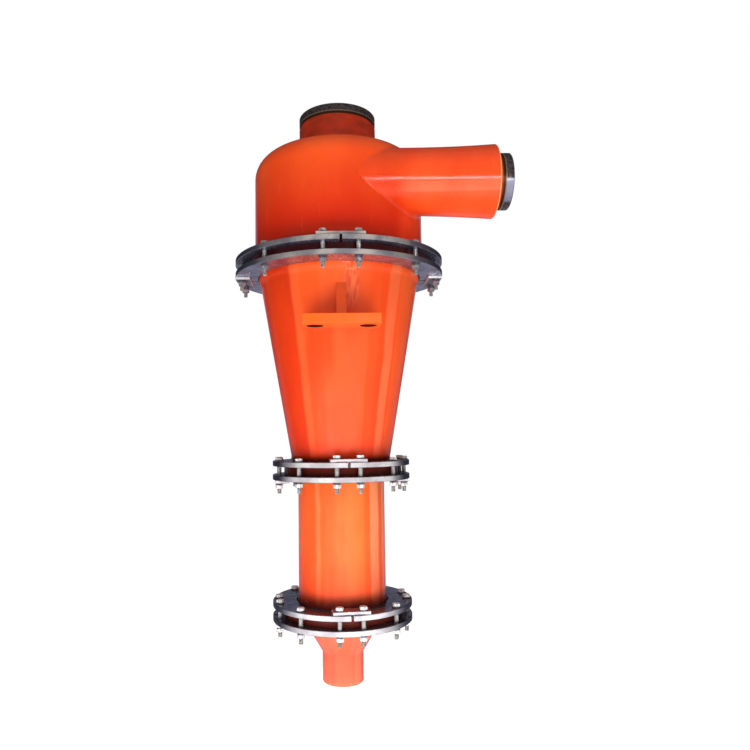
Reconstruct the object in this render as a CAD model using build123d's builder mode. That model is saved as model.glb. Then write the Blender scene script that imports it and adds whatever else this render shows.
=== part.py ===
from build123d import *
import os
from math import asin, cos, degrees, radians, sin, sqrt

os.makedirs("parts", exist_ok=True)

# A polyurethane hydrocyclone of 300 mm bore, in millimetres. Z runs up its axis.
# The origin lies on the axis, in the plane of the undersides of the two mounting lugs.
# The feed inlet points along +X and one lug faces -Y.

# Bores and lengths along the axis
chamber_d = 300
cone_outlet_d = 136
lower_outlet_d = 90
apex_d = 50
cone_length = 405
lower_length = 272.5
spigot_length = 139.5
lug_drop = 143

# Feed head
head_wall = 22
head_height = 232
shoulder_radius = 46
roof_rise = 5.5
roof_thickness = 28
chamber_corner = 12

# Feed inlet, a round casting along the front of the head
inlet_d = 128
inlet_mouth_d = 141
inlet_rise = 151.5
inlet_reach = 301
inlet_flare_length = 181
inlet_inset = 3.5
inlet_edge = 2.5
inlet_blend = 8

# Grooved steel pipe ends, bonded into the head
feed_pipe_d = 108
feed_pipe_wall = 4
feed_pipe_stub = 27.5
feed_pipe_depth = 72
feed_anchor_rim = 6
overflow_pipe_d = 159
overflow_pipe_wall = 4.5
overflow_pipe_height = 326.5
overflow_anchor_rim = 18
pipe_land = 15.9
pipe_groove_width = 9
pipe_groove_depth = 2.2
pipe_edge = 1
anchor_thickness = 6
anchor_cover = 12

# Vortex finder
finder_outer_d = 122
finder_bore_d = 84
finder_drop = 146
finder_flange_rim = 12
finder_flange = 10
finder_spigot = 30
finder_lip = 4
finder_edge = 3
slip_clearance = 0.3

# Outside of the cone, the lower section and the spigot
cone_top_wall = 16
cone_bottom_wall = 27
cone_collar_step = 2.5
cone_collar_height = 4
cone_collar_blend = 10
lower_outer_d = 173
lower_collar_step = 2.5
lower_collar_height = 2
lower_collar_blend = 14
spigot_d = 81
spigot_root_d = 169
spigot_neck = 82
spigot_taper_length = 90
spigot_edge = 2.5
casting_blend = 25

# Cast flanges and the seals between them
flange_thickness = 8.5
flange_bolt_gap = 8
seal_inset = 14
seal_width = 6
seal_depth = 4.5
seal_edge = 0.6

# Mounting lugs, a drilled plate and a rib cast on the front and back of the cone
lug_width = 141
lug_projection = 79
lug_thickness = 18
lug_hole_d = 30
lug_hole_spacing = 95
lug_hole_inset = 32
lug_corner = 4
lug_edge = 1.5
rib_thickness = 18
rib_height = 68
rib_setback = 22

# Split backing rings and the lap plates across their gaps
ring_thickness = 10
ring_clearance = 1.5
ring_gap = 5
ring_edge = 0.8
large_ring_width = 38.5
large_bolt_inset = 13
large_pair_spacing = 64
small_ring_width = 49.5
small_bolt_inset = 11
small_pair_spacing = 43.5
lap_thickness = 6
lap_width = 27
lap_inset = 5
lap_end_margin = 12.5
lap_edge = 0.6

# Fasteners, metric size 8
bolt_d = 8
bolt_hole_d = 9
hex_width = 13
hex_chamfer = 0.9
bolt_head_height = 5.3
bolt_end_chamfer = 0.9
nut_height = 6.8
thread_clearance = 0.3
washer_d = 16
washer_thickness = 1.6
spring_washer_d = 13
spring_washer_thickness = 2.1
spring_washer_gap = 1.8
short_bolt_length = 60
long_bolt_length = 65

# Turn of each flange joint about the axis, and of each hexagon from the one before, in degrees
upper_angle = 0
middle_angle = 5.3
lower_angle = 6.3
wrench_angle = 23

# Heights that follow from the lengths
upper_parting = lug_drop
middle_parting = upper_parting - cone_length
lower_parting = middle_parting - lower_length
spigot_end = lower_parting - spigot_length
roof_edge = upper_parting + head_height
chamber_roof = roof_edge - roof_thickness
pipe_top = upper_parting + overflow_pipe_height
inlet_z = upper_parting + inlet_rise
half_stack = flange_thickness + ring_thickness

# Radii that follow from the diameters
chamber_r = chamber_d / 2
head_r = chamber_r + head_wall
cone_outlet_r = cone_outlet_d / 2
lower_outlet_r = lower_outlet_d / 2
apex_r = apex_d / 2
cone_top_r = chamber_r + cone_top_wall
cone_bottom_r = cone_outlet_r + cone_bottom_wall
lower_r = lower_outer_d / 2
lower_collar_r = lower_r + lower_collar_step
spigot_r = spigot_d / 2
spigot_root_r = spigot_root_d / 2
overflow_r = overflow_pipe_d / 2
overflow_bore_r = overflow_r - overflow_pipe_wall
feed_pipe_r = feed_pipe_d / 2
feed_bore_r = feed_pipe_r - feed_pipe_wall
finder_r = finder_outer_d / 2
finder_bore_r = finder_bore_d / 2
inlet_r = inlet_d / 2
inlet_mouth_r = inlet_mouth_d / 2
inlet_y = inlet_r + inlet_inset - head_r
inlet_axis = Axis((0, inlet_y, inlet_z), (1, 0, 0))
feed_pipe_mouth = inlet_reach + feed_pipe_stub


def cone_radius(height):
    share = (height - middle_parting) / cone_length
    return cone_bottom_r + (cone_top_r - cone_bottom_r) * share


collar_bottom = upper_parting - half_stack - cone_collar_height
cone_collar_r = cone_radius(collar_bottom) + cone_collar_step
lug_reach = cone_radius(0) + lug_projection
lug_hole_reach = lug_reach - lug_hole_inset
large_ring_r = head_r + ring_clearance + large_ring_width
small_ring_r = lower_r + ring_clearance + small_ring_width

# Each flange joint: its height and turn, its rings and bolts, and the bores that clear its castings
upper_joint = {
    "name": "upper",
    "height": upper_parting,
    "turn": upper_angle,
    "ring_r": large_ring_r,
    "bolt_r": large_ring_r - large_bolt_inset,
    "pair": large_pair_spacing,
    "top_bore_r": head_r + ring_clearance,
    "bottom_bore_r": cone_collar_r + ring_clearance,
    "seal_r": chamber_r + seal_inset,
}
middle_joint = {
    "name": "middle",
    "height": middle_parting,
    "turn": middle_angle,
    "ring_r": small_ring_r,
    "bolt_r": small_ring_r - small_bolt_inset,
    "pair": small_pair_spacing,
    "top_bore_r": cone_radius(middle_parting + half_stack) + ring_clearance,
    "bottom_bore_r": lower_r + ring_clearance,
    "seal_r": cone_outlet_r + seal_inset,
}
lower_joint = {
    "name": "lower",
    "height": lower_parting,
    "turn": lower_angle,
    "ring_r": small_ring_r,
    "bolt_r": small_ring_r - small_bolt_inset,
    "pair": small_pair_spacing,
    "top_bore_r": lower_collar_r + ring_clearance,
    "bottom_bore_r": spigot_root_r + ring_clearance,
    "seal_r": lower_outlet_r + seal_inset,
}


# Cast flanges end inside the circle of bolts
def flange_radius(joint):
    return joint["bolt_r"] - bolt_d / 2 - flange_bolt_gap


# Level plane of a joint, turned with it and on to a direction, above or below its parting plane
def joint_plane(joint, height, direction=0):
    level = Plane((0, 0, joint["height"] + height))
    return level.rotated((0, 0, joint["turn"] + direction))


# The pairs of bolts that hold lap plates stand about these directions, with single bolts between
top_lap_directions = [90, 270]
bottom_lap_directions = [0, 180]
single_directions = [45, 135, 225, 315]


def pair_angles(joint, directions):
    spread = degrees(asin(joint["pair"] / 2 / joint["bolt_r"]))
    return [middle + side * spread for middle in directions for side in (-1, 1)]


def lap_bolt_angles(joint):
    return pair_angles(joint, top_lap_directions + bottom_lap_directions)


def bolt_point(joint, angle):
    return joint["bolt_r"] * cos(radians(angle)), joint["bolt_r"] * sin(radians(angle))


# Circular edge of a turned piece, found by its radius and its height along Z
def rim(piece, radius, height):
    circles = piece.edges().filter_by(GeomType.CIRCLE)
    return circles.sort_by(lambda e: abs(e.radius - radius) + abs(e.arc_center.Z - height))[0]


def finish(piece, name):
    piece.part.label = name
    export_step(piece.part, f"parts/{name}.step")


# Half section of a grooved pipe end, its mouth at zero and its body along -Y of the sketch
def pipe_outline(radius, length):
    groove_top = -pipe_land
    groove_bottom = groove_top - pipe_groove_width
    return [
        (0, 0),
        (radius - pipe_edge, 0),
        (radius, -pipe_edge),
        (radius, groove_top),
        (radius - pipe_groove_depth, groove_top),
        (radius - pipe_groove_depth, groove_bottom),
        (radius, groove_bottom),
        (radius, -length),
        (0, -length),
    ]


# Floor of the groove for a joint's seal, in the top face of the casting below the joint
def seal_groove(joint):
    with BuildSketch(joint_plane(joint, -seal_depth)) as groove:
        Circle(joint["seal_r"] + seal_width / 2 + slip_clearance)
        Circle(joint["seal_r"] - seal_width / 2 - slip_clearance, mode=Mode.SUBTRACT)
    return groove.sketch


# Overflow pipe, upright on the axis, with an anchor rim inside the roof
overflow_length = pipe_top - chamber_roof
overflow_end = Plane((0, 0, pipe_top), x_dir=(1, 0, 0), z_dir=(0, -1, 0))
with BuildPart() as overflow_pipe:
    with BuildSketch(overflow_end):
        with BuildLine():
            Polyline(*pipe_outline(overflow_r, overflow_length), close=True)
        make_face()
    revolve(axis=Axis.Z)
    with BuildSketch(Plane.XY.offset(chamber_roof + anchor_cover)):
        Circle(overflow_r + overflow_anchor_rim)
    extrude(amount=anchor_thickness)
    with BuildSketch(Plane.XY.offset(chamber_roof)):
        Circle(overflow_bore_r)
    extrude(amount=overflow_length, mode=Mode.SUBTRACT)
finish(overflow_pipe, "overflow_pipe")

# Feed pipe end, level along +X, with an anchor rim inside the inlet casting
feed_pipe_length = feed_pipe_stub + feed_pipe_depth
feed_pipe_start = feed_pipe_mouth - feed_pipe_length
feed_pipe_end = Plane((feed_pipe_mouth, inlet_y, inlet_z), x_dir=(0, 0, 1), z_dir=(0, 1, 0))
feed_pipe_root = Plane((feed_pipe_start, inlet_y, inlet_z), x_dir=(0, 1, 0), z_dir=(1, 0, 0))
with BuildPart() as inlet_pipe:
    with BuildSketch(feed_pipe_end):
        with BuildLine():
            Polyline(*pipe_outline(feed_pipe_r, feed_pipe_length), close=True)
        make_face()
    revolve(axis=inlet_axis)
    with BuildSketch(feed_pipe_root.offset(anchor_cover)):
        Circle(feed_pipe_r + feed_anchor_rim)
    extrude(amount=anchor_thickness)
    with BuildSketch(feed_pipe_root):
        Circle(feed_bore_r)
    extrude(amount=feed_pipe_length, mode=Mode.SUBTRACT)
finish(inlet_pipe, "inlet_pipe")

# Feed head: flanged body with a rounded shoulder, and the inlet that meets it along its front
head_flange_r = flange_radius(upper_joint)
head_flange_top = upper_parting + flange_thickness
inlet_flare_start = inlet_reach - inlet_flare_length
inlet_section = Plane((0, inlet_y, inlet_z), x_dir=(1, 0, 0), z_dir=(0, -1, 0))
with BuildPart() as feed_head:
    with BuildSketch(Plane.XZ) as body:
        with BuildLine():
            Polyline(
                (0, upper_parting),
                (head_flange_r, upper_parting),
                (head_flange_r, head_flange_top),
                (head_r, head_flange_top),
                (head_r, roof_edge),
                (overflow_r, roof_edge + roof_rise),
                (0, roof_edge + roof_rise),
                close=True,
            )
        make_face()
        fillet(body.vertices().sort_by_distance((head_r, roof_edge))[0], radius=shoulder_radius)
    revolve(axis=Axis.Z)
    with BuildSketch(inlet_section) as inlet:
        with BuildLine():
            back = Line((0, 0), (0, inlet_r))
            side = Line(back @ 1, (inlet_flare_start, inlet_r))
            flare = TangentArc(side @ 1, (inlet_reach, inlet_mouth_r), tangent=side % 1)
            mouth = Line(flare @ 1, (inlet_reach, 0))
            Line(mouth @ 1, back @ 0)
        make_face()
        fillet(inlet.vertices().sort_by_distance((inlet_reach, inlet_mouth_r))[0], radius=inlet_edge)
    revolve(axis=inlet_axis)
    fillet(feed_head.edges().filter_by(GeomType.BSPLINE), radius=inlet_blend)
    # Chamber with a rounded corner under the roof
    with BuildSketch(Plane.XZ) as chamber:
        with BuildLine():
            Polyline(
                (0, upper_parting),
                (chamber_r, upper_parting),
                (chamber_r, chamber_roof),
                (0, chamber_roof),
                close=True,
            )
        make_face()
        fillet(chamber.vertices().sort_by_distance((chamber_r, chamber_roof))[0], radius=chamber_corner)
    revolve(axis=Axis.Z, mode=Mode.SUBTRACT)
    # Feed passage, narrowing from the pipe until it meets the chamber wall as a tangent
    with BuildSketch(inlet_section):
        with BuildLine():
            Polyline(
                (0, 0),
                (0, chamber_r + inlet_y),
                (feed_pipe_start, feed_bore_r),
                (feed_pipe_start, 0),
                close=True,
            )
        make_face()
    revolve(axis=inlet_axis, mode=Mode.SUBTRACT)
    # Seats of the two steel pipe ends
    with BuildSketch(feed_pipe_root):
        Circle(feed_bore_r)
    extrude(amount=feed_pipe_length, mode=Mode.SUBTRACT)
    with BuildSketch(Plane.XY.offset(chamber_roof)):
        Circle(overflow_bore_r)
    extrude(amount=overflow_length, mode=Mode.SUBTRACT)
    add(inlet_pipe.part, mode=Mode.SUBTRACT)
    add(overflow_pipe.part, mode=Mode.SUBTRACT)
finish(feed_head, "feed_head")

# Vortex finder: seated in the overflow pipe and hanging into the chamber
finder_flange_bottom = chamber_roof - finder_flange
finder_seat_r = overflow_bore_r - slip_clearance
finder_end = chamber_roof - finder_drop
with BuildPart() as vortex_finder:
    with BuildSketch(Plane.XZ):
        with BuildLine():
            Polyline(
                (finder_bore_r, finder_end),
                (finder_r, finder_end),
                (finder_r, finder_flange_bottom),
                (overflow_bore_r + finder_flange_rim, finder_flange_bottom),
                (overflow_bore_r + finder_flange_rim, chamber_roof),
                (finder_seat_r, chamber_roof),
                (finder_seat_r, chamber_roof + finder_spigot),
                (finder_seat_r - finder_lip, chamber_roof + finder_spigot),
                (finder_bore_r, finder_flange_bottom),
                close=True,
            )
        make_face()
    revolve(axis=Axis.Z)
    fillet(rim(vortex_finder, finder_r, finder_end), radius=finder_edge)
finish(vortex_finder, "vortex_finder")

# Upper cone, with a flange at each end and the mounting lugs on its front and back
cone_flange_top = middle_parting + flange_thickness
blend_bottom = collar_bottom - cone_collar_blend
rib_top = lug_thickness + rib_height
with BuildPart() as upper_cone:
    with BuildSketch(Plane.XZ):
        with BuildLine():
            Polyline(
                (0, middle_parting),
                (flange_radius(middle_joint), middle_parting),
                (flange_radius(middle_joint), cone_flange_top),
                (cone_radius(cone_flange_top), cone_flange_top),
                (cone_radius(blend_bottom), blend_bottom),
                (cone_collar_r, collar_bottom),
                (cone_collar_r, upper_parting - flange_thickness),
                (head_flange_r, upper_parting - flange_thickness),
                (head_flange_r, upper_parting),
                (0, upper_parting),
                close=True,
            )
        make_face()
    revolve(axis=Axis.Z)
    fillet(rim(upper_cone, cone_collar_r, collar_bottom), radius=casting_blend)
    fillet(rim(upper_cone, cone_radius(blend_bottom), blend_bottom), radius=casting_blend)
    # Lug plates
    with BuildSketch(Plane.XY) as lugs:
        Rectangle(lug_width, 2 * lug_reach)
        fillet(lugs.vertices(), radius=lug_corner)
    extrude(amount=lug_thickness)
    # Ribs that rise from the plates to the cone
    with BuildSketch(Plane.YZ):
        with BuildLine():
            Polyline(
                (rib_setback - lug_reach, lug_thickness),
                (-cone_radius(rib_top), rib_top),
                (cone_radius(rib_top), rib_top),
                (lug_reach - rib_setback, lug_thickness),
                close=True,
            )
        make_face()
    extrude(amount=rib_thickness / 2, both=True)
    lug_ends = upper_cone.edges().filter_by(lambda e: abs(e.center().Y) > lug_reach - lug_corner)
    fillet(lug_ends.filter_by(Axis.X), radius=lug_edge)
    # Conical bore
    with BuildSketch(Plane.XZ):
        with BuildLine():
            Polyline(
                (0, middle_parting),
                (cone_outlet_r, middle_parting),
                (chamber_r, upper_parting),
                (0, upper_parting),
                close=True,
            )
        make_face()
    revolve(axis=Axis.Z, mode=Mode.SUBTRACT)
    with BuildSketch(Plane.XY):
        with GridLocations(lug_hole_spacing, 2 * lug_hole_reach, 2, 2):
            Circle(lug_hole_d / 2)
    extrude(amount=lug_thickness, mode=Mode.SUBTRACT)
    extrude(seal_groove(upper_joint), amount=seal_depth, mode=Mode.SUBTRACT)
finish(upper_cone, "upper_cone")

# Lower section, straight outside with a tapered bore
lower_collar_top = lower_parting + half_stack + lower_collar_height
lower_blend_top = lower_collar_top + lower_collar_blend
with BuildPart() as lower_section:
    with BuildSketch(Plane.XZ):
        with BuildLine():
            Polyline(
                (lower_outlet_r, lower_parting),
                (flange_radius(lower_joint), lower_parting),
                (flange_radius(lower_joint), lower_parting + flange_thickness),
                (lower_collar_r, lower_parting + flange_thickness),
                (lower_collar_r, lower_collar_top),
                (lower_r, lower_blend_top),
                (lower_r, middle_parting - flange_thickness),
                (flange_radius(middle_joint), middle_parting - flange_thickness),
                (flange_radius(middle_joint), middle_parting),
                (cone_outlet_r, middle_parting),
                close=True,
            )
        make_face()
    revolve(axis=Axis.Z)
    fillet(rim(lower_section, lower_collar_r, lower_collar_top), radius=casting_blend)
    fillet(rim(lower_section, lower_r, lower_blend_top), radius=casting_blend)
    extrude(seal_groove(middle_joint), amount=seal_depth, mode=Mode.SUBTRACT)
finish(lower_section, "lower_section")

# Spigot, which ends in the underflow bore
with BuildPart() as spigot:
    with BuildSketch(Plane.XZ):
        with BuildLine():
            Polyline(
                (apex_r, spigot_end),
                (spigot_r, spigot_end),
                (spigot_r, lower_parting - spigot_neck),
                (spigot_root_r, lower_parting - flange_thickness),
                (flange_radius(lower_joint), lower_parting - flange_thickness),
                (flange_radius(lower_joint), lower_parting),
                (lower_outlet_r, lower_parting),
                (apex_r, lower_parting - spigot_taper_length),
                close=True,
            )
        make_face()
    revolve(axis=Axis.Z)
    fillet(rim(spigot, spigot_r, spigot_end), radius=spigot_edge)
    extrude(seal_groove(lower_joint), amount=seal_depth, mode=Mode.SUBTRACT)
finish(spigot, "spigot")


# Seal ring in the groove of a joint
def make_seal(joint):
    with BuildPart() as seal:
        with BuildSketch(Plane.XZ):
            with Locations((joint["seal_r"], joint["height"] - seal_depth / 2)):
                RectangleRounded(seal_width, seal_depth, seal_edge)
        revolve(axis=Axis.Z)
    finish(seal, f"{joint['name']}_seal")


# Outline edges of a flat plate, on both its faces
def plate_edges(plate):
    level_faces = plate.faces().sort_by(Axis.Z)
    return level_faces[0].outer_wire().edges() + level_faces[-1].outer_wire().edges()


# Half of a split backing ring, with its middle towards a direction
def make_ring_half(joint, height, bore_r, direction, name):
    with BuildPart() as half:
        with BuildSketch(joint_plane(joint, height, direction)):
            Circle(joint["ring_r"])
            Circle(bore_r, mode=Mode.SUBTRACT)
            with Locations((ring_gap / 2, 0)):
                from_gap = (Align.MIN, Align.CENTER)
                Rectangle(joint["ring_r"], joint["ring_r"] * 2, align=from_gap, mode=Mode.INTERSECT)
            with Locations(*[bolt_point(joint, a) for a in lap_bolt_angles(joint) + single_directions]):
                Circle(bolt_hole_d / 2, mode=Mode.SUBTRACT)
        extrude(amount=ring_thickness)
        chamfer(plate_edges(half), length=ring_edge)
    finish(half, f"{joint['name']}_{name}")


# Flat plate that bridges a ring's gap, held by one pair of bolts
def make_lap_plate(joint, height, direction, name):
    pair_reach = sqrt(joint["bolt_r"] ** 2 - (joint["pair"] / 2) ** 2)
    with BuildPart() as plate:
        with BuildSketch(joint_plane(joint, height, direction)):
            with Locations((joint["ring_r"] - lap_inset - lap_width / 2, 0)):
                Rectangle(lap_width, joint["pair"] + 2 * lap_end_margin)
            with Locations((pair_reach, -joint["pair"] / 2), (pair_reach, joint["pair"] / 2)):
                Circle(bolt_hole_d / 2, mode=Mode.SUBTRACT)
        extrude(amount=lap_thickness)
        chamfer(plate_edges(plate), length=lap_edge)
    finish(plate, f"{joint['name']}_{name}")


# Hexagon with its corners turned down at the top and, on a nut, at the bottom too
def make_hexagon(height, both_ends):
    corner_r = hex_width / sqrt(3)
    drop = hex_chamfer / sqrt(3)
    foot = [(corner_r - hex_chamfer, 0), (corner_r, drop)] if both_ends else [(corner_r, 0)]
    with BuildPart() as hexagon:
        with BuildSketch(Plane.XY):
            RegularPolygon(corner_r, 6)
        extrude(amount=height)
        with BuildSketch(Plane.XZ):
            with BuildLine():
                Polyline(
                    (0, 0),
                    *foot,
                    (corner_r, height - drop),
                    (corner_r - hex_chamfer, height),
                    (0, height),
                    close=True,
                )
            make_face()
        revolve(axis=Axis.Z, mode=Mode.INTERSECT)
    return hexagon.part


# Hexagon bolt, its head on the sketch plane and its shank below
def make_bolt(length):
    with BuildPart() as bolt:
        add(make_hexagon(bolt_head_height, False))
        with BuildSketch(Plane.XY):
            Circle(bolt_d / 2)
        extrude(amount=-length)
        chamfer(rim(bolt, bolt_d / 2, -length), length=bolt_end_chamfer)
    return bolt.part


def make_nut():
    with BuildPart() as nut:
        add(make_hexagon(nut_height, True))
        with BuildSketch(Plane.XY):
            Circle(bolt_d / 2 + thread_clearance)
        extrude(amount=nut_height, mode=Mode.SUBTRACT)
    return nut.part


def make_washer(outer_d, thickness, gap):
    with BuildPart() as washer:
        with BuildSketch(Plane.XY):
            Circle(outer_d / 2)
            Circle(bolt_d / 2 + thread_clearance, mode=Mode.SUBTRACT)
            if gap:
                Rectangle(outer_d, gap, align=(Align.MIN, Align.CENTER), mode=Mode.SUBTRACT)
        extrude(amount=thickness)
    return washer.part


# Places at bolts, a distance out from the ring or from the lap plate on it
# The side is 1 above the joint and -1 below it
def bolt_places(joint, angles, side, distance):
    lapped = pair_angles(joint, top_lap_directions if side > 0 else bottom_lap_directions)
    places = []
    for number, angle in enumerate(angles):
        x, y = bolt_point(joint, angle + joint["turn"])
        stack = half_stack + distance + (lap_thickness if angle in lapped else 0)
        places.append(Location((x, y, joint["height"] + side * stack), (0, 0, number * wrench_angle)))
    return places


def make_group(piece, places, name):
    with BuildPart() as group:
        with Locations(*places):
            add(piece)
    finish(group, name)


nut_stack = washer_thickness + spring_washer_thickness + nut_height
for joint in (upper_joint, middle_joint, lower_joint):
    joint_name = joint["name"]
    make_seal(joint)
    for direction, name in ((0, "top_ring_right"), (180, "top_ring_left")):
        make_ring_half(joint, flange_thickness, joint["top_bore_r"], direction, name)
    for direction, name in ((90, "bottom_ring_back"), (270, "bottom_ring_front")):
        make_ring_half(joint, -half_stack, joint["bottom_bore_r"], direction, name)
    for direction, name in zip(top_lap_directions, ("top_lap_back", "top_lap_front")):
        make_lap_plate(joint, half_stack, direction, name)
    for direction, name in zip(bottom_lap_directions, ("bottom_lap_right", "bottom_lap_left")):
        make_lap_plate(joint, -half_stack - lap_thickness, direction, name)

    # Long bolts go through the lap plates, and short ones through the rings alone
    lap_angles = lap_bolt_angles(joint)
    all_angles = lap_angles + single_directions
    long_places = bolt_places(joint, lap_angles, 1, washer_thickness)
    make_group(make_bolt(long_bolt_length), long_places, f"{joint_name}_long_bolts")
    short_places = bolt_places(joint, single_directions, 1, washer_thickness)
    make_group(make_bolt(short_bolt_length), short_places, f"{joint_name}_short_bolts")

    # A washer under each head, and a washer and a spring washer over each nut
    upper_washers = bolt_places(joint, all_angles, 1, 0)
    lower_washers = bolt_places(joint, all_angles, -1, washer_thickness)
    washer = make_washer(washer_d, washer_thickness, 0)
    make_group(washer, upper_washers + lower_washers, f"{joint_name}_washers")
    spring_places = bolt_places(joint, all_angles, -1, washer_thickness + spring_washer_thickness)
    spring_washer = make_washer(spring_washer_d, spring_washer_thickness, spring_washer_gap)
    make_group(spring_washer, spring_places, f"{joint_name}_spring_washers")
    make_group(make_nut(), bolt_places(joint, all_angles, -1, nut_stack), f"{joint_name}_nuts")
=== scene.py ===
import math

import bpy
from mathutils import Matrix, Vector


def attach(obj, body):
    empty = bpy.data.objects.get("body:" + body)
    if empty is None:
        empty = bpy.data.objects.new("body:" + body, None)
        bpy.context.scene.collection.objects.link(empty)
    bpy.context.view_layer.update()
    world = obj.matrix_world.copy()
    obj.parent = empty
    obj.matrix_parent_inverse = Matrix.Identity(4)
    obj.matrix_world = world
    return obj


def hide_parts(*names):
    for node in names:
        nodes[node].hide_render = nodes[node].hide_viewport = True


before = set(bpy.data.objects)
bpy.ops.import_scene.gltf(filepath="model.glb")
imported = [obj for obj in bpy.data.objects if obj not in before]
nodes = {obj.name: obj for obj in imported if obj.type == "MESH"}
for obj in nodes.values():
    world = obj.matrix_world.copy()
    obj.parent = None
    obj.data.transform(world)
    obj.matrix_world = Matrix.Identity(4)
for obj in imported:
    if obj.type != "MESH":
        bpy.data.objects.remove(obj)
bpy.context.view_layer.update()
bpy.ops.object.select_all(action="DESELECT")
mm = 0.001
print("stage: frame loaded,", len(nodes), "nodes")

# Camera, where the photograph was taken from
camera = {
    "distance": 1361 * mm,  # from the cyclone's axis
    "height": -191.4 * mm,  # the lens is a little above the middle joint
    "around": 1.2,  # degrees to the left of the front
    "pitch": 5.05,  # degrees upwards
    "roll": 0.66,  # degrees
    "lens": 32.0,
    "sensor": 36.0,
    "shiftX": 0.0467,
    "nearest": 0.05,
}
cameraData = bpy.data.cameras.new("camera")
cameraData.lens = camera["lens"]
cameraData.sensor_width = camera["sensor"]
cameraData.shift_x = camera["shiftX"]
cameraData.clip_start = camera["nearest"]
cameraObject = bpy.data.objects.new("camera", cameraData)
bpy.context.scene.collection.objects.link(cameraObject)
around = math.radians(camera["around"])
cameraObject.location = (
    -camera["distance"] * math.sin(around),
    -camera["distance"] * math.cos(around),
    camera["height"],
)
cameraTurn = (
    Matrix.Rotation(-around, 3, "Z")
    @ Matrix.Rotation(math.radians(90 + camera["pitch"]), 3, "X")
    @ Matrix.Rotation(math.radians(-camera["roll"]), 3, "Z")
)
cameraObject.rotation_euler = cameraTurn.to_euler()
bpy.context.scene.camera = cameraObject


# sRGB hex to a linear colour
def linear(hexColor):
    parts = [int(hexColor[i:i + 2], 16) / 255 for i in (1, 3, 5)]
    return [*(p / 12.92 if p <= 0.04045 else ((p + 0.055) / 1.055) ** 2.4 for p in parts), 1]


# Adds a node and returns its outputs. Inputs go by name, or by their order, and are values or other outputs
def addNode(tree, kind, inputs=(), **settings):
    node = tree.nodes.new("ShaderNode" + kind)
    for name, value in settings.items():
        setattr(node, name, value)
    for name, value in inputs.items() if isinstance(inputs, dict) else enumerate(inputs):
        if isinstance(value, bpy.types.NodeSocket):
            tree.links.new(value, node.inputs[name])
        else:
            node.inputs[name].default_value = value
    return node.outputs


def newMaterial(name):
    material = bpy.data.materials.new(name)
    material.use_nodes = True
    tree = material.node_tree
    tree.nodes.clear()
    return material, tree


def useMaterial(material, names):
    for name in names:
        mesh = nodes[name].data
        mesh.materials.clear()
        mesh.materials.append(material)


# Mask from limits, each a value with the level where the mask is 0 and the level where it is 1
def maskWhere(tree, *limits):
    mask = None
    for value, none, full in limits:
        step = addNode(tree, "MapRange", {
            "Value": value, "From Min": none, "From Max": full,
        }, interpolation_type="SMOOTHSTEP")[0]
        mask = addNode(tree, "Math", (mask, step), operation="MULTIPLY")[0] if mask is not None else step
    return mask


# The two limits that keep a value between low and high, with soft edges
def between(value, low, high, soft):
    return (value, low - soft, low + soft), (value, high + soft, high - soft)


# Mask of blotches: 0 below the first level of the noise, 1 above the second. The dictionaries below give
# them as their size, levels, detail and stretch
def blotches(tree, place, size, levels, detail=3.0, stretch=(1, 1, 1)):
    stretched = addNode(tree, "Mapping", {"Vector": place, "Scale": stretch})[0]
    noise = addNode(tree, "TexNoise", {"Vector": stretched, "Scale": 1 / size, "Detail": detail})[0]
    return maskWhere(tree, (noise, *levels))


# Lays a share of another colour over this one, where the mask says
def layOver(tree, color, hexColor, mask, share=1.0, blend="MIX"):
    amount = addNode(tree, "Math", (mask, share), operation="MULTIPLY")[0]
    mixed = addNode(tree, "Mix", {
        0: amount, 6: color, 7: linear(hexColor),
    }, data_type="RGBA", blend_type=blend)
    return mixed[2]


# Colours at marks along a value
def rampAlong(tree, value, marks):
    low, high = marks[0][0], marks[-1][0]
    share = addNode(tree, "MapRange", {"Value": value, "From Min": low, "From Max": high})[0]
    color = addNode(tree, "ValToRGB", (share,))[0]
    stops = color.node.color_ramp.elements
    for index, (at, hexColor) in enumerate(marks):
        stop = stops[index] if index < 2 else stops.new(0.5)
        stop.position = (at - low) / (high - low)
        stop.color = linear(hexColor)
    return color


# Distance from a centre, in the plane of two coordinates
def awayFrom(tree, places, center=(0, 0)):
    squares = []
    for place, middle in zip(places, center):
        off = addNode(tree, "Math", (place, middle), operation="SUBTRACT")[0]
        squares.append(addNode(tree, "Math", (off, off), operation="MULTIPLY")[0])
    both = addNode(tree, "Math", squares, operation="ADD")[0]
    return addNode(tree, "Math", (both,), operation="SQRT")[0]


# Fine relief from pairs of a height and its depth, as the shader's Normal
def reliefOf(tree, *layers):
    normal = {}
    for height, depth in layers:
        relief = addNode(tree, "Bump", {"Height": height, "Distance": depth, "Strength": 1.0, **normal})
        normal = {"Normal": relief[0]}
    return normal


# Cast polyurethane: poured orange elastomer, demoulded with a smooth, slightly wavy, glossy skin
castSkin = {
    "ior": 1.47,
    "roughness": 0.135,
    "dull": (37.5 * mm, (0.3, 0.7), 6, (1, 1, 0.5)),
    "dullRoughness": 0.07,
    "patches": (75 * mm, (0.35, 0.68), 4, (1, 1, 0.45)),  # uneven colour from the pour
    "patchColor": "#E03A12",
    "patchShare": 0.25,
    "wanderSize": 90 * mm,  # the painted bands wander sideways over this length
    "wander": 4.0,  # degrees
    "paintedBandSoft": 1.5,  # degrees
    "waveSize": 60 * mm,  # slow waves left by the mould
    "waveDepth": 0.16 * mm,
    "peelSize": 4 * mm,  # fine skin, drawn coarser than it is so that it shows
    "peelDepth": 0.012 * mm,
    "scuffs": (9 * mm, (0.62, 0.80), 5, (1, 1, 0.16)),
    "scuffColor": "#FF8A55",
    "scuffShare": 0.18,
    "glowWeight": 0.1,  # light scatters a little way into the elastomer
    "glowRadius": (1.0, 0.35, 0.12),
    "glowDepth": 4 * mm,
}
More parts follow.
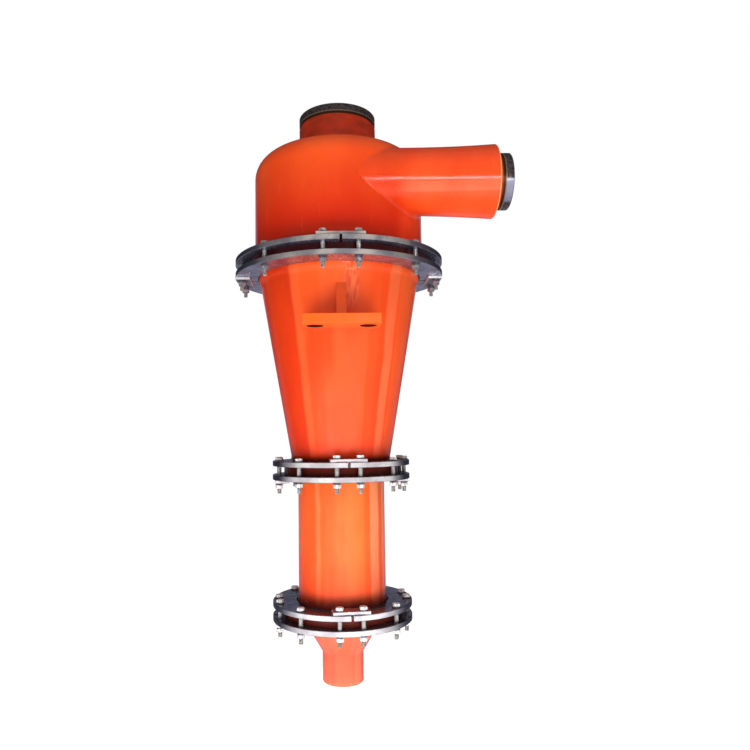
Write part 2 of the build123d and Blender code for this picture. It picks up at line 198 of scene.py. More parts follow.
# Dirt specks all over, painted shade on the flanges between the rings, and painted shade that climbs a wall
# from the ring below it, heights in mm
dirtAndShade = {
    "color": "#4A1410",
    "specks": (18 * mm, (0.66, 0.82), 8),
    "speckShare": 0.25,
    "flangeReach": 11,
    "flangeSoft": 1.5,
    "flangeShare": 0.92,
    "footShadeFrom": (-8, -6),
    "footShadeFull": 2,
    "footShadeShare": 0.85,
    "ragged": (14 * mm, (0.2, 0.8), 5),
    "raggedShare": 0.15,
    "redShadeColor": "#E8340E",  # a redder painted shade reaching higher than the darker one
    "redShadeReach": 4,  # times the dirt's own reach
    "redShadeShare": 0.5,
}
# For each casting: its colour at heights in mm, partly painted light, heights that painted shade climbs from
# and how far, and lengthwise bands of painted highlight and shade: direction in degrees from the front, half
# width, share and colour
castings = {
    "feed_head": {
        # Painted light: the dome paler, the wall darker down towards the ring
        "heights": (
            (152, "#E0300D"), (200, "#D6280A"), (270, "#D82B0B"), (300, "#E4390F"), (345, "#FB5018"),
            (375, "#FF6020"),
        ),
        "footShadeAbove": ((161.5, 22),),
        "paintedBands": ((-150, 9, 0.2, "#FF7A44"), (-95, 6, 0.15, "#FF7A44"), (160, 12, 0.2, "#FF7A44")),
    },
    "vortex_finder": {"heights": ((200, "#FA3E12"), (340, "#FC4012")), "footShadeAbove": (), "paintedBands": ()},
    "upper_cone": {
        # Painted light: paler at the top, under the ring
        "heights": ((-262, "#FF501E"), (-100, "#FF4E1C"), (60, "#FF521C"), (90, "#FF5C24"), (124, "#FF6024")),
        "footShadeAbove": ((-243.5, 12),),
        "paintedBands": (
            (-68, 32, 0.8, "#DC360C"), (3, 18, 0.18, "#FF8048"), (42, 5, 0.45, "#FF8A58"),
            (60, 11, 0.25, "#FF8048"), (33, 3, 0.3, "#F0380C"), (-33, 4, 0.25, "#FF8048"),
            (-150, 12, 0.3, "#FF8048"), (140, 5, 0.3, "#FF8048"), (97, 6, 0.2, "#FF8048"),
        ),
    },
    "lower_section": {
        "heights": ((-534, "#FF6A30"), (-420, "#FF6C30"), (-262, "#FF6C2E")),
        "footShadeAbove": ((-516, 32),),
        "paintedBands": (
            (8, 20, 0.2, "#FF9A50"), (-18, 10, 0.55, "#FC6028"), (-3, 6, 0.25, "#FC6028"),
            (-33, 3, 0.3, "#FFA070"), (-70, 33, 0.5, "#F05424"), (33, 2.5, 0.35, "#F85C28"),
            (46, 8, 0.6, "#FFA878"), (58, 3, 0.3, "#F85C28"), (72, 9, 0.6, "#FFA888"),
            (-120, 10, 0.3, "#FF9A50"), (115, 8, 0.3, "#FF9A50"), (168, 14, 0.3, "#FF9A50"),
        ),
    },
    "spigot": {
        "heights": (
            (-674, "#FF7C58"), (-664, "#FF6E4E"), (-652, "#FF6646"), (-618, "#FF6346"), (-614, "#FF694E"),
            (-602, "#FF755A"), (-540, "#FF755A"),
        ),
        "footShadeAbove": (),
        "paintedBands": ((46, 13, 0.3, "#FF9070"), (-50, 14, 0.2, "#FF9070"), (2, 14, 0.3, "#F85830")),
    },
}
# The inlet's wall is paler along +X, with a painted reflection of the pale ground as a stripe low on it and a
# painted highlight on its rim, in mm
inletWall = {
    "from": 100,
    "to": 140,
    "color": "#FF5420",
    "groundSheen": (257, 274),
    "groundSheenSoft": 1.5,
    "groundSheenColor": "#FF8A64",
    "groundSheenShare": 0.35,
    "center": (-104.5, 294.5),
    "rim": 299,
    "rimR": 66,
    "rimSoft": 1,
    "rimColor": "#FFB070",
}
# Marks on the cone: limits in mm, each from where the mark is nothing to where it is full, its colour and
# share, and the blotches that break it up
coneMarks = {
    # Painted light: the rib's lit right side is paler
    "washed": {
        "x": ((2, 14), (40, 28)), "height": ((34, 62), (138, 110)), "color": "#FF8450", "share": 0.45,
    },
    "drips": {
        "x": ((2, 14), (40, 28)), "height": ((34, 62), (138, 110)), "color": "#D8300C", "share": 0.6,
        "blotches": (6 * mm, (0.42, 0.58), 4, (1, 1, 0.16)),
    },
    "paleMark": {
        "x": ((8, 16), (34, 26)), "height": ((105, 109), (116, 112)), "color": "#FF9A68", "share": 0.55,
        "blotches": (6 * mm, (0.35, 0.6), 3, (0.6, 0.6, 1.6)),
    },
    "underLug": {
        "x": ((-70, -54), (-6, -22)), "height": ((-120, -40), (6, -2)), "color": "#F4440F", "share": 0.75,
    },
}
# The lugs' plates are painted brighter, as painted light, and their holes painted dark inside, as painted
# shade, in mm
lugs = {
    "plateFrom": (168, 171),  # out from the axis
    "plateTop": (20, 19),
    "plateLightColor": "#FF6420",
    "hole": (47.5, 187.93),
    "holeR": 15.6,
    "holeSoft": 0.6,
    "holeShadeColor": "#2A0E0A",
    "holeShadeShare": 0.95,
}
# The three clamped joints: height of the middle, turn in degrees, radius of the bolt circle, and the
# distance between the two bolts of a lap
joints = {
    "upper": {"height": 143 * mm, "turn": 0.0, "boltR": 199 * mm, "pair": 64 * mm},
    "middle": {"height": -262 * mm, "turn": 5.3, "boltR": 126.5 * mm, "pair": 43.5 * mm},
    "lower": {"height": -534.5 * mm, "turn": 6.3, "boltR": 126.5 * mm, "pair": 43.5 * mm},
}


def paintInlet(tree, color, x, y, height):
    wall = inletWall
    onInlet = (x, wall["from"], wall["to"])
    color = layOver(tree, color, wall["color"], maskWhere(tree, onInlet))
    # A painted reflection of the pale ground, as a stripe low on the inlet
    groundSheen = maskWhere(tree, onInlet, *between(height, *wall["groundSheen"], wall["groundSheenSoft"]))
    color = layOver(tree, color, wall["groundSheenColor"], groundSheen, wall["groundSheenShare"])
    away = awayFrom(tree, (y, height), wall["center"])
    # A painted highlight round the end rim
    atEnd = (x, wall["rim"] - wall["rimSoft"], wall["rim"])
    rim = maskWhere(tree, atEnd, (away, wall["rimR"] - wall["rimSoft"], wall["rimR"]))
    return layOver(tree, color, wall["rimColor"], rim)


# Drips have run down beside the rib, whose lit side is painted paler, under a paler smear, and the lug's shade
# under it is painted redder
def paintConeMarks(tree, color, place, x, height):
    for mark in coneMarks.values():
        limits = [(x, *limit) for limit in mark["x"]] + [(height, *limit) for limit in mark["height"]]
        mask = maskWhere(tree, *limits)
        if "blotches" in mark:
            broken = blotches(tree, place, *mark["blotches"])
            mask = addNode(tree, "Math", (mask, broken), operation="MULTIPLY")[0]
        color = layOver(tree, color, mark["color"], mask, mark["share"])
    return color


def paintLugs(tree, color, x, y, height):
    outX = addNode(tree, "Math", (x,), operation="ABSOLUTE")[0]
    outY = addNode(tree, "Math", (y,), operation="ABSOLUTE")[0]
    onPlate = ((outY, *lugs["plateFrom"]), (height, *lugs["plateTop"]))
    # The plates are painted brighter, as painted light
    color = layOver(tree, color, lugs["plateLightColor"], maskWhere(tree, *onPlate))
    away = awayFrom(tree, (outX, outY), lugs["hole"])
    # The holes are painted dark inside, as painted shade
    holeShade = maskWhere(tree, *onPlate, (away, lugs["holeR"] + lugs["holeSoft"], lugs["holeR"]))
    return layOver(tree, color, lugs["holeShadeColor"], holeShade, lugs["holeShadeShare"])


def paintDirtAndShade(tree, color, place, height, footShadeAbove):
    specks = blotches(tree, place, *dirtAndShade["specks"])
    color = layOver(tree, color, dirtAndShade["color"], specks, dirtAndShade["speckShare"])
    # Painted shade on the castings' flanges, in the gap between each joint's rings
    for joint in joints.values():
        middle, reach = joint["height"] / mm, dirtAndShade["flangeReach"]
        gapShade = maskWhere(tree, *between(height, middle - reach, middle + reach, dirtAndShade["flangeSoft"]))
        color = layOver(tree, color, dirtAndShade["color"], gapShade, dirtAndShade["flangeShare"])
    ragged = blotches(tree, place, *dirtAndShade["ragged"])
    # Painted shade above each ring: a redder one reaching higher, and a darker, ragged one close to it
    for foot, reach in footShadeAbove:
        overFoot = (height, *(foot + off for off in dirtAndShade["footShadeFrom"]))
        redShade = maskWhere(tree, (height, foot + dirtAndShade["redShadeReach"] * reach, foot), overFoot)
        color = layOver(tree, color, dirtAndShade["redShadeColor"], redShade, dirtAndShade["redShadeShare"])
        footShade = maskWhere(tree, (height, foot + reach, foot + dirtAndShade["footShadeFull"]), overFoot)
        thick = addNode(tree, "Math", (
            ragged, dirtAndShade["raggedShare"], dirtAndShade["footShadeShare"],
        ), operation="MULTIPLY_ADD")[0]
        footShade = addNode(tree, "Math", (footShade, thick), operation="MULTIPLY")[0]
        color = layOver(tree, color, dirtAndShade["color"], footShade)
    return color


def makeCastPolyurethane(name, casting):
    skin = castSkin
    material, tree = newMaterial("castPolyurethane_" + name)
    place = addNode(tree, "TexCoord")["Object"]
    inMm = addNode(tree, "VectorMath", (place, [1 / mm] * 3), operation="MULTIPLY")[0]
    x, y, height = addNode(tree, "SeparateXYZ", (inMm,))
    # The colour up the height paints light and shade: the head's dome paler and its wall darker downwards, the
    # cone's top paler under the ring
    color = rampAlong(tree, height, casting["heights"])
    # Painted bands of highlight and shade run the length of the casting, each at its own direction round the
    # axis
    forward = addNode(tree, "Math", (y, -1), operation="MULTIPLY")[0]
    turn = addNode(tree, "Math", (x, forward), operation="ARCTAN2")[0]
    wander = addNode(tree, "TexNoise", {"Vector": place, "Scale": 1 / skin["wanderSize"], "Detail": 1.0})[0]
    wander = addNode(tree, "Math", (wander, skin["wander"], -skin["wander"] / 2), operation="MULTIPLY_ADD")[0]
    turn = addNode(tree, "Math", (turn, 180 / math.pi, wander), operation="MULTIPLY_ADD")[0]
    for middle, half, share, paintedBandColor in casting["paintedBands"]:
        paintedBand = maskWhere(tree, *between(turn, middle - half, middle + half, skin["paintedBandSoft"]))
        color = layOver(tree, color, paintedBandColor, paintedBand, share)
    if name == "feed_head":
        color = paintInlet(tree, color, x, y, height)
    patches = blotches(tree, place, *skin["patches"])
    color = layOver(tree, color, skin["patchColor"], patches, skin["patchShare"], "MULTIPLY")
    scuffs = blotches(tree, place, *skin["scuffs"])
    color = layOver(tree, color, skin["scuffColor"], scuffs, skin["scuffShare"])
    if name == "upper_cone":
        color = paintConeMarks(tree, color, place, x, height)
        color = paintLugs(tree, color, x, y, height)
    color = paintDirtAndShade(tree, color, place, height, casting["footShadeAbove"])
    dull = blotches(tree, place, *skin["dull"])
    roughness = addNode(tree, "Math", (
        dull, skin["dullRoughness"], skin["roughness"],
    ), operation="MULTIPLY_ADD")[0]
    waves = addNode(tree, "TexNoise", {"Vector": place, "Scale": 1 / skin["waveSize"], "Detail": 1.0})[0]
    peel = addNode(tree, "TexNoise", {"Vector": place, "Scale": 1 / skin["peelSize"], "Detail": 2.0})[0]
    surface = addNode(tree, "BsdfPrincipled", {
        "Base Color": color, "Roughness": roughness, "IOR": skin["ior"],
        "Subsurface Weight": skin["glowWeight"], "Subsurface Radius": skin["glowRadius"],
        "Subsurface Scale": skin["glowDepth"],
        **reliefOf(tree, (waves, skin["waveDepth"]), (peel, skin["peelDepth"])),
    })
    addNode(tree, "OutputMaterial", {"Surface": surface[0]})
    return material


for name, casting in castings.items():
    useMaterial(makeCastPolyurethane(name, casting), [name])
print("stage: polyurethane done")

# Backing rings: cut from rolled mild steel plate, dulled to a blue grey, with paler cut edges
plateSteel = {
    "stainColor": "#5C4438",
    "stainShare": 0.3,
    "faceRoughness": 0.21,
    "edgeRoughness": 0.43,
    "wearRoughness": 0.12,
    "faceMetallic": 0.85,
    "edgeMetallic": 0.45,
    "edgeFrom": (0.85, 0.5),  # how level a surface is, 1 for a level one
    "patches": (40 * mm, (0.38, 0.66), 5),
    "stains": (40 / 3 * mm, (0.60, 0.76), 8),
    "wear": (10 * mm, (0.3, 0.75), 6),
    "grainSize": 1.5 * mm,
    "grainDepth": 0.005 * mm,
    "cutSpacing": 1.6 * mm,  # upright striations that the cutting left on the edges
    "cutStretch": 0.03,
    "cutDepth": 0.03 * mm,
}
# The level faces keep their rolled skin, and the cut edges are paler; the middle and lower joints' near-white
# edges and the upper ring's greyer ones are lit and shaded copies of one steel, painted light.
# "side" is a painted reflection towards the left and right, dark on the rings and a white highlight on the
# upper laps, from sideFrom on (0 in the middle, 1 at the side), and its share on the faces
plates = {
    "upper_ring": {
        "face": "#A8A8C0", "faceDark": "#80809A", "edge": "#C6BEB6", "edgeDark": "#8A888C",
        "side": "#3A3A4A", "sideFrom": (0.2, 0.9), "sideOnFace": 0.15,
    },
    "upper_lap": {
        # These are scoured bare at the sides
        # Their sides carry a painted white highlight
        "face": "#8C8C98", "faceDark": "#6A6A76", "edge": "#D0C8BE", "edgeDark": "#9C9894",
        "side": "#FFFFFF", "sideFrom": (0.9, 0.95), "sideOnFace": 0.0,
    },
    "middle_ring": {
        "face": "#8A8894", "faceDark": "#666672", "edge": "#F2EEF0", "edgeDark": "#C6C0C4",
        "side": "#2C2C3C", "sideFrom": (0.62, 0.9), "sideOnFace": 1.0,
    },
    "middle_lap": {"face": "#A8A6AE", "faceDark": "#84828C", "edge": "#F6F2F4", "edgeDark": "#D2CCD0"},
    "lower_ring": {
        "face": "#7E7C88", "faceDark": "#5E5C68", "edge": "#F2EEF2", "edgeDark": "#C8C2C8",
        "side": "#323242", "sideFrom": (0.52, 0.9), "sideOnFace": 1.0,
    },
    "lower_lap": {"face": "#A8A6AE", "faceDark": "#84828C", "edge": "#F8F4F6", "edgeDark": "#D6D0D4"},
}


def makePlateSteel(name, finish):
    steel = plateSteel
    material, tree = newMaterial("rolledPlateSteel_" + name)
    place = addNode(tree, "TexCoord")["Object"]
    up = addNode(tree, "SeparateXYZ", (addNode(tree, "NewGeometry")["Normal"],))[2]
    up = addNode(tree, "Math", (up,), operation="ABSOLUTE")[0]
    onEdge = addNode(tree, "MapRange", {
        "Value": up, "From Min": steel["edgeFrom"][0], "From Max": steel["edgeFrom"][1],
    })[0]
    patches = blotches(tree, place, *steel["patches"])
    face = layOver(tree, linear(finish["face"]), finish["faceDark"], patches)
    edge = layOver(tree, linear(finish["edge"]), finish["edgeDark"], patches)
    color = addNode(tree, "Mix", {0: onEdge, 6: face, 7: edge}, data_type="RGBA")[2]
    # Painted reflection towards the left and right: dark on the rings, white on the upper laps
    if "side" in finish:
        x, y = addNode(tree, "SeparateXYZ", (place,))[:2]
        sideways = addNode(tree, "Math", (x, awayFrom(tree, (x, y))), operation="DIVIDE")[0]
        sideways = addNode(tree, "Math", (sideways,), operation="ABSOLUTE")[0]
        aside = maskWhere(tree, (sideways, *finish["sideFrom"]))
        share = addNode(tree, "Math", (
            onEdge, 1 - finish["sideOnFace"], finish["sideOnFace"],
        ), operation="MULTIPLY_ADD")[0]
        aside = addNode(tree, "Math", (aside, share), operation="MULTIPLY")[0]
        color = layOver(tree, color, finish["side"], aside)
    stains = blotches(tree, place, *steel["stains"])
    color = layOver(tree, color, steel["stainColor"], stains, steel["stainShare"])
    roughness = addNode(tree, "Math", (
        onEdge, steel["edgeRoughness"] - steel["faceRoughness"], steel["faceRoughness"],
    ), operation="MULTIPLY_ADD")[0]
    wear = blotches(tree, place, *steel["wear"])
    roughness = addNode(tree, "Math", (wear, steel["wearRoughness"], roughness), operation="MULTIPLY_ADD")[0]
    metallic = addNode(tree, "Math", (
        onEdge, steel["edgeMetallic"] - steel["faceMetallic"], steel["faceMetallic"],
    ), operation="MULTIPLY_ADD")[0]
    grain = addNode(tree, "TexNoise", {"Vector": place, "Scale": 1 / steel["grainSize"], "Detail": 4.0})[0]
    upright = addNode(tree, "Mapping", {"Vector": place, "Scale": (1, 1, steel["cutStretch"])})[0]
    cuts = addNode(tree, "TexNoise", {"Vector": upright, "Scale": 1 / steel["cutSpacing"], "Detail": 1.0})[0]
    cuts = addNode(tree, "Math", (cuts, onEdge), operation="MULTIPLY")[0]
    surface = addNode(tree, "BsdfPrincipled", {
        "Base Color": color, "Roughness": roughness, "Metallic": metallic,
        **reliefOf(tree, (grain, steel["grainDepth"]), (cuts, steel["cutDepth"])),
    })
    addNode(tree, "OutputMaterial", {"Surface": surface[0]})
    return material


for name, finish in plates.items():
    jointName, kind = name.split("_")
    plateNames = [n for n in nodes if n.startswith(jointName) and "_" + kind + "_" in n]
    useMaterial(makePlateSteel(name, finish), plateNames)
print("stage: plates done")

# Pipe ends: turned steel with a dark mill skin, and a brown coat between the groove and the casting
pipes = {
    "overflow_pipe": {"axis": 2, "mouth": 469.5 * mm},
    "inlet_pipe": {
        "axis": 0, "mouth": 328.5 * mm,
        # A painted reflection of the pale ground, bright low on its front: limits of the drop below its
        # centre and of how far back
        "center": (-104.5 * mm, 294.5 * mm),
        "reflectionDrop": ((11 * mm, 14 * mm), (50 * mm, 46 * mm)),
        "reflectionBack": (10 * mm, 0),
        "reflectionShare": 0.9,
        "reflectionLess": 0.5,  # where the land is worn anyway
    },
}
# Places along a pipe are distances in from its mouth
pipeSteel = {
    "land": "#6E6262",
    "landSpots": "#403636",
    "spots": (5 * mm, (0.40, 0.66), 6),
    "bright": "#BABCD0",
    "wearAndShade": (3 * mm, (0.62, 0.74), 5),
    "wornShare": 0.3,
    "mouthDark": (1.5 * mm, 0.9 * mm),
    "rim": "#B8A48C",  # a painted highlight along the groove's edge
    "rimFrom": (13.6 * mm, 14.6 * mm),
    "rimShare": 0.9,
    "groove": "#5E3820",
    "grooveFrom": (15.5 * mm, 16.3 * mm),
    "coat": "#D0360A",
    "coatDark": "#AC3008",
    "coatPatches": (40 * mm, (0.35, 0.7), 4, (1, 1, 2.5)),
    "coatFrom": (19.2 * mm, 21.6 * mm),
    "metallic": 0.7,
    "coatMetallic": 0.1,
    "roughness": 0.3,
    "spotRoughness": 0.12,
    "latheSpacing": 0.6 * mm,  # turning marks
    "latheDepth": 0.008 * mm,
    "pitSize": 2 * mm,
    "pitDepth": 0.04 * mm,
}


def makePipeSteel(name, pipe):
    steel = pipeSteel
    material, tree = newMaterial("turnedPipeSteel_" + name)
    place = addNode(tree, "TexCoord")["Object"]
    places = addNode(tree, "SeparateXYZ", (place,))
    depth = addNode(tree, "Math", (pipe["mouth"], places[pipe["axis"]]), operation="SUBTRACT")[0]
    spots = blotches(tree, place, *steel["spots"])
    color = layOver(tree, linear(steel["land"]), steel["landSpots"], spots)
    wearAndShade = blotches(tree, place, *steel["wearAndShade"])
    color = layOver(tree, color, steel["bright"], wearAndShade, steel["wornShare"])
    # Painted reflection of the pale ground, low on the front
    if "reflectionDrop" in pipe:
        centerY, centerZ = pipe["center"]
        drop = addNode(tree, "Math", (centerZ, places[2]), operation="SUBTRACT")[0]
        back = addNode(tree, "Math", (places[1], centerY), operation="SUBTRACT")[0]
        paleMark = maskWhere(tree, *((drop, *limit) for limit in pipe["reflectionDrop"]), (back, *pipe["reflectionBack"]))
        unworn = addNode(tree, "Math", (wearAndShade, -pipe["reflectionLess"], 1), operation="MULTIPLY_ADD")[0]
        paleMark = addNode(tree, "Math", (paleMark, unworn), operation="MULTIPLY")[0]
        color = layOver(tree, color, steel["bright"], paleMark, pipe["reflectionShare"])
    color = layOver(tree, color, steel["landSpots"], maskWhere(tree, (depth, *steel["mouthDark"])))
    # A painted highlight along the groove's edge
    rim = maskWhere(tree, (depth, *steel["rimFrom"]), (depth, *reversed(steel["grooveFrom"])))
    color = layOver(tree, color, steel["rim"], rim, steel["rimShare"])
    color = layOver(tree, color, steel["groove"], maskWhere(tree, (depth, *steel["grooveFrom"])))
    coatPatches = blotches(tree, place, *steel["coatPatches"])
    coat = layOver(tree, linear(steel["coat"]), steel["coatDark"], coatPatches)
    onCoat = maskWhere(tree, (depth, *steel["coatFrom"]))
    color = addNode(tree, "Mix", {0: onCoat, 6: color, 7: coat}, data_type="RGBA")[2]
    metallic = addNode(tree, "Math", (
        onCoat, steel["coatMetallic"] - steel["metallic"], steel["metallic"],
    ), operation="MULTIPLY_ADD")[0]
    roughness = addNode(tree, "Math", (
        spots, steel["spotRoughness"], steel["roughness"],
    ), operation="MULTIPLY_ADD")[0]
    lathe = addNode(tree, "Math", (depth, 2 * math.pi / steel["latheSpacing"]), operation="MULTIPLY")[0]
    lathe = addNode(tree, "Math", (lathe,), operation="SINE")[0]
    pits = addNode(tree, "TexNoise", {"Vector": place, "Scale": 1 / steel["pitSize"], "Detail": 6.0})[0]
    surface = addNode(tree, "BsdfPrincipled", {
        "Base Color": color, "Roughness": roughness, "Metallic": metallic,
        **reliefOf(tree, (lathe, steel["latheDepth"]), (pits, steel["pitDepth"])),
    })
    addNode(tree, "OutputMaterial", {"Surface": surface[0]})
    return material


for name, pipe in pipes.items():
    useMaterial(makePipeSteel(name, pipe), [name])
print("stage: pipe ends done")

# Fasteners: zinc plated steel, bright with dull and stained spots
zinc = {
    "spots": (3 * mm, (0.40, 0.65), 5),
    "stains": (7.5 * mm, (0.60, 0.74), 6),
    "stainColor": "#4A3226",
    "stainShare": 0.55,
    "roughness": 0.19,
    "spotRoughness": 0.15,
    "grainSize": 0.8 * mm,
    "grainDepth": 0.02 * mm,
    "edgeShadeColor": "#2C2828",  # painted shade on edges and thread grooves, and where pieces meet
    "edgeRadius": 1.1 * mm,
    "edgeFrom": (0.995, 0.93),  # cosine of how far the rounded edge turns from the flat
    "shadeReach": 5 * mm,
    "shadeFrom": (0.7, 0.3),  # how open a place is
    "shankColor": "#7E7672",  # the bolts' shanks, darker between the rings
    "shankFrom": (15 * mm, 13 * mm),  # off the joint's middle
    "shankShare": 0.7,
}
# The upper joint's plating is painted darker, as shade, and the washers' darkest, as painted shade under the
# nuts
zincFinishes = {
    "upper": {"bright": "#CCCCD2", "dull": "#74727A", "wearAndShade": 0.85, "metallic": 0.5},
    "upperBolts": {"bright": "#E4E0DC", "dull": "#989694", "wearAndShade": 0.6, "metallic": 0.4},
    "middle": {"bright": "#FFFFFF", "dull": "#CCCAC8", "wearAndShade": 0.95, "metallic": 0.15},
    "lower": {"bright": "#FFFFFF", "dull": "#CCCAC8", "wearAndShade": 0.95, "metallic": 0.15},
    "washers": {"bright": "#9C9AA2", "dull": "#5C585A", "wearAndShade": 0.9, "metallic": 0.5},
}


def makeZinc(name, finish):
    material, tree = newMaterial("zincPlating_" + name)
    place = addNode(tree, "TexCoord")["Object"]
    spots = blotches(tree, place, *zinc["spots"])
    color = layOver(tree, linear(finish["bright"]), finish["dull"], spots)
    stains = blotches(tree, place, *zinc["stains"])
    color = layOver(tree, color, zinc["stainColor"], stains, zinc["stainShare"])
    if name in joints:
        height = addNode(tree, "SeparateXYZ", (place,))[2]
        off = addNode(tree, "Math", (height, joints[name]["height"]), operation="SUBTRACT")[0]
        off = addNode(tree, "Math", (off,), operation="ABSOLUTE")[0]
        shank = maskWhere(tree, (off, *zinc["shankFrom"]))
        color = layOver(tree, color, zinc["shankColor"], shank, zinc["shankShare"])
    # Painted shade where the surface turns at an edge, and where little of it is open
    rounded = addNode(tree, "Bevel", {"Radius": zinc["edgeRadius"]}, samples=4)[0]
    flat = addNode(tree, "NewGeometry")["Normal"]
    turned = addNode(tree, "VectorMath", (rounded, flat), operation="DOT_PRODUCT")["Value"]
    openness = addNode(tree, "AmbientOcclusion", {"Distance": zinc["shadeReach"]}, samples=4)["AO"]
    onEdge = maskWhere(tree, (turned, *zinc["edgeFrom"]))
    inCorner = maskWhere(tree, (openness, *zinc["shadeFrom"]))
    wearAndShade = addNode(tree, "Math", (onEdge, inCorner), operation="MAXIMUM")[0]
    color = layOver(tree, color, zinc["edgeShadeColor"], wearAndShade, finish["wearAndShade"])
    roughness = addNode(tree, "Math", (
        spots, zinc["spotRoughness"], zinc["roughness"],
    ), operation="MULTIPLY_ADD")[0]
    grain = addNode(tree, "TexNoise", {"Vector": place, "Scale": 1 / zinc["grainSize"], "Detail": 3.0})[0]
    surface = addNode(tree, "BsdfPrincipled", {
        "Base Color": color, "Roughness": roughness, "Metallic": finish["metallic"],
        **reliefOf(tree, (grain, zinc["grainDepth"])),
    })
    addNode(tree, "OutputMaterial", {"Surface": surface[0]})
    return material


zincPlatings = {name: makeZinc(name, finish) for name, finish in zincFinishes.items()}
boltFinishes = {"upper": "upperBolts", "middle": "middle", "lower": "lower"}
for jointName in joints:
    useMaterial(zincPlatings[jointName], [jointName + "_nuts"])
    useMaterial(zincPlatings[boltFinishes[jointName]], [jointName + "_long_bolts", jointName + "_short_bolts"])
useMaterial(zincPlatings["washers"], [n for n in nodes if n.endswith("_washers")])

# Seals: black nitrile rubber, moulded, matt with a greyer bloom, hidden between the flanges
seal = {
    "color": "#1C1B1B",
    "bloom": (8 * mm, (0.4, 0.7), 4),
    "bloomColor": "#2B2928",
    "roughness": 0.6,
    "bloomRoughness": 0.1,
    "ior": 1.52,
}


def makeRubber():
    material, tree = newMaterial("sealRubber")
    place = addNode(tree, "TexCoord")["Object"]
    bloom = blotches(tree, place, *seal["bloom"])
    color = layOver(tree, linear(seal["color"]), seal["bloomColor"], bloom)
    roughness = addNode(tree, "Math", (
        bloom, seal["bloomRoughness"], seal["roughness"],
    ), operation="MULTIPLY_ADD")[0]
    surface = addNode(tree, "BsdfPrincipled", {
        "Base Color": color, "Roughness": roughness, "IOR": seal["ior"],
    })
    addNode(tree, "OutputMaterial", {"Surface": surface[0]})
    return material


useMaterial(makeRubber(), [n for n in nodes if n.endswith("_seal")])
print("stage: fasteners and seals done")

# Bolts with real threads, in place of the plain ones
bolt = {
    "diameter": 8 * mm,
    "pitch": 1.25 * mm,
    "threadDepth": 0.72 * mm,
    "threadLength": 26 * mm,
    "threadFlat": 0.12,  # share of the thread's wave that is flat at its crest, and at its root
    "runOut": 1.5,  # turns over which the thread ends
    "headWidth": 13 * mm,
    "headHeight": 5.3 * mm,
    "headChamfer": 0.9 * mm,
    "endChamfer": 0.9 * mm,
    "long": 65 * mm,
    "short": 60 * mm,
    "around": 24,  # facets round the shank
    "perTurn": 5,  # rings for each turn of thread
    "coneFacets": 96,
    "smoothUnder": 35,  # degrees
}
# What a head sits on, up from the joint's middle, and how far each is turned from the last, in degrees
stack = {"half": 18.5 * mm, "washer": 1.6 * mm, "lap": 6 * mm, "wrench": 23}
lapDirections = {"top": (90, 270), "bottom": (0, 180)}
shortDirections = (45, 135, 225, 315)


